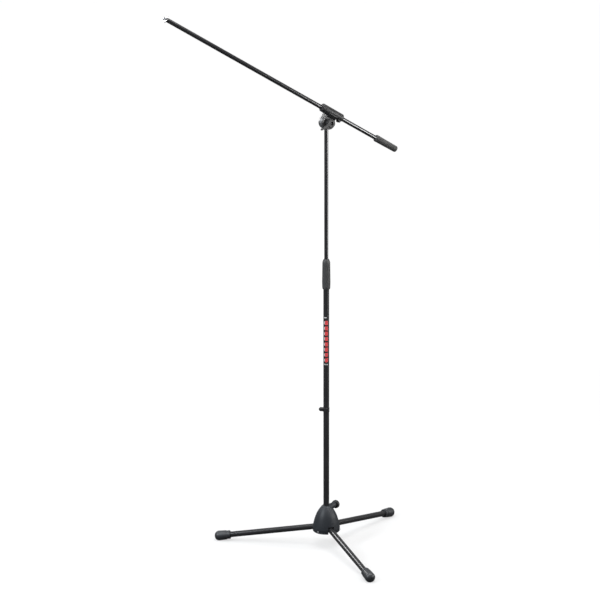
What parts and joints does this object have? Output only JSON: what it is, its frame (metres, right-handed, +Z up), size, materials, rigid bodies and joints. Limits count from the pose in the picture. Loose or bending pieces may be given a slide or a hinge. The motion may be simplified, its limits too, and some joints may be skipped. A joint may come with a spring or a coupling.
{
  "type": "boom microphone stand",
  "caption": "Tripod boom microphone stand: folding legs under a bell-shaped hub, telescopic column with a twist clutch, and a tilting, sliding boom with a threaded tip.",
  "frame": {"origin": "on the floor under the middle of the whole stand's outline; the column stands at x = 0.104 m, y = 0.073 m", "axes": "+Z up, along the column; the boom lies in a plane parallel to XZ with its microphone end towards -X; the swivel's axis is along Y"},
  "size_m": [0.8969, 0.5979, 1.7428],
  "materials": {
    "tube_paint": "semi-gloss black powder coat",
    "hub_paint": "satin dark grey on die-cast zinc",
    "knob_plastic": "gloss black",
    "grip_plastic": "matte dark grey",
    "clamp_plastic": "matte dark grey",
    "foot_rubber": "matte black",
    "handle_rubber": "matte grey-black",
    "swivel_metal": "satin grey",
    "bright_steel": "bright",
    "screw_steel": "plain zinc",
    "nylon": "natural nylon"
  },
  "bodies": {
    "hub": {"hub_bell": "hub_paint", "hub_base_spider": "hub_paint", "hub_rim_screws": "screw_steel", "leg_pivot_pins": "screw_steel"},
    "hub_knob_body": {"hub_knob": "knob_plastic", "hub_knob_stud": "screw_steel", "hub_pressure_pad": "nylon"},
    "leg_1": {"leg_knuckle_1": "screw_steel", "leg_tube_1": "tube_paint", "leg_foot_1": "foot_rubber"},
    "leg_2": {"leg_knuckle_2": "screw_steel", "leg_tube_2": "tube_paint", "leg_foot_2": "foot_rubber"},
    "leg_3": {"leg_knuckle_3": "screw_steel", "leg_tube_3": "tube_paint", "leg_foot_3": "foot_rubber"},
    "column": {"lower_tube": "tube_paint", "lower_tube_plug": "foot_rubber", "cable_clip": "knob_plastic", "clutch_ferrule": "screw_steel", "clutch_collet": "nylon"},
    "clutch": {"clutch_grip": "grip_plastic"},
    "guide": {"upper_tube_guide": "nylon"},
    "mast": {"upper_tube": "tube_paint", "upper_tube_plug": "nylon", "swivel_socket": "swivel_metal", "swivel_friction_disc": "swivel_metal", "swivel_bolt": "screw_steel"},
    "clamp": {"boom_clamp": "clamp_plastic", "swivel_backplate": "swivel_metal", "clamp_screw": "screw_steel"},
    "lever": {"swivel_lever": "clamp_plastic"},
    "liner": {"clamp_liner": "clamp_plastic"},
    "boom": {"boom_tube": "tube_paint", "boom_handle": "handle_rubber", "mic_thread_insert": "screw_steel"},
    "lock_ring": {"mic_lock_ring": "bright_steel"}
  },
  "joints": [
    {"name": "leg_1_fold", "type": "hinge", "parent": "hub", "child": "leg_1", "pos_m": [0.13134, 0.08535, 0.0634], "axis": [-0.4115, 0.9114, 0], "range_deg": [0, 81.5]},
    {"name": "leg_2_fold", "type": "hinge", "parent": "hub", "child": "leg_2", "pos_m": [0.07964, 0.09051, 0.0634], "axis": [-0.5835, -0.8121, 0], "range_deg": [0, 81.5]},
    {"name": "leg_3_fold", "type": "hinge", "parent": "hub", "child": "leg_3", "pos_m": [0.10102, 0.04315, 0.0634], "axis": [0.9951, -0.0993, 0], "range_deg": [0, 81.5]},
    {"name": "column_slide", "type": "slide", "parent": "hub", "child": "column", "axis": [0, 0, 1], "range_m": [-0.3, 0]},
    {"name": "hub_knob_turn", "type": "hinge", "parent": "hub", "child": "hub_knob_body", "pos_m": [0.104, 0.073, 0.1265], "axis": [0.9114, 0.4115, 0], "range_deg": [0, 540]},
    {"name": "clutch_twist", "type": "hinge", "parent": "column", "child": "clutch", "pos_m": [0.104, 0.073, 0.91], "axis": [0, 0, 1], "range_deg": [0, 180]},
    {"name": "extension_slide", "type": "slide", "parent": "column", "child": "guide", "axis": [0, 0, 1], "range_m": [-0.4, 0.3]},
    {"name": "mast_turn", "type": "hinge", "parent": "guide", "child": "mast", "pos_m": [0.104, 0.073, 0.57], "axis": [0, 0, 1], "continuous": true},
    {"name": "boom_tilt", "type": "hinge", "parent": "mast", "child": "clamp", "pos_m": [0.104, 0.073, 1.396], "axis": [0, -1, 0], "range_deg": [-61.1, 118.9]},
    {"name": "swivel_lever_turn", "type": "hinge", "parent": "mast", "child": "lever", "pos_m": [0.104, 0.041, 1.396], "axis": [0, -1, 0], "range_deg": [0, 180]},
    {"name": "boom_roll", "type": "hinge", "parent": "clamp", "child": "liner", "pos_m": [0.11934, 0.0565, 1.4238], "axis": [0.8755, 0, -0.4833], "continuous": true},
    {"name": "boom_slide", "type": "slide", "parent": "liner", "child": "boom", "axis": [0.8755, 0, -0.4833], "range_m": [-0.128, 0.5]},
    {"name": "lock_ring_turn", "type": "hinge", "parent": "boom", "child": "lock_ring", "pos_m": [-0.44052, 0.0565, 1.73286], "axis": [-0.8755, 0, 0.4833], "range_deg": [-360, 360]}
  ]
}
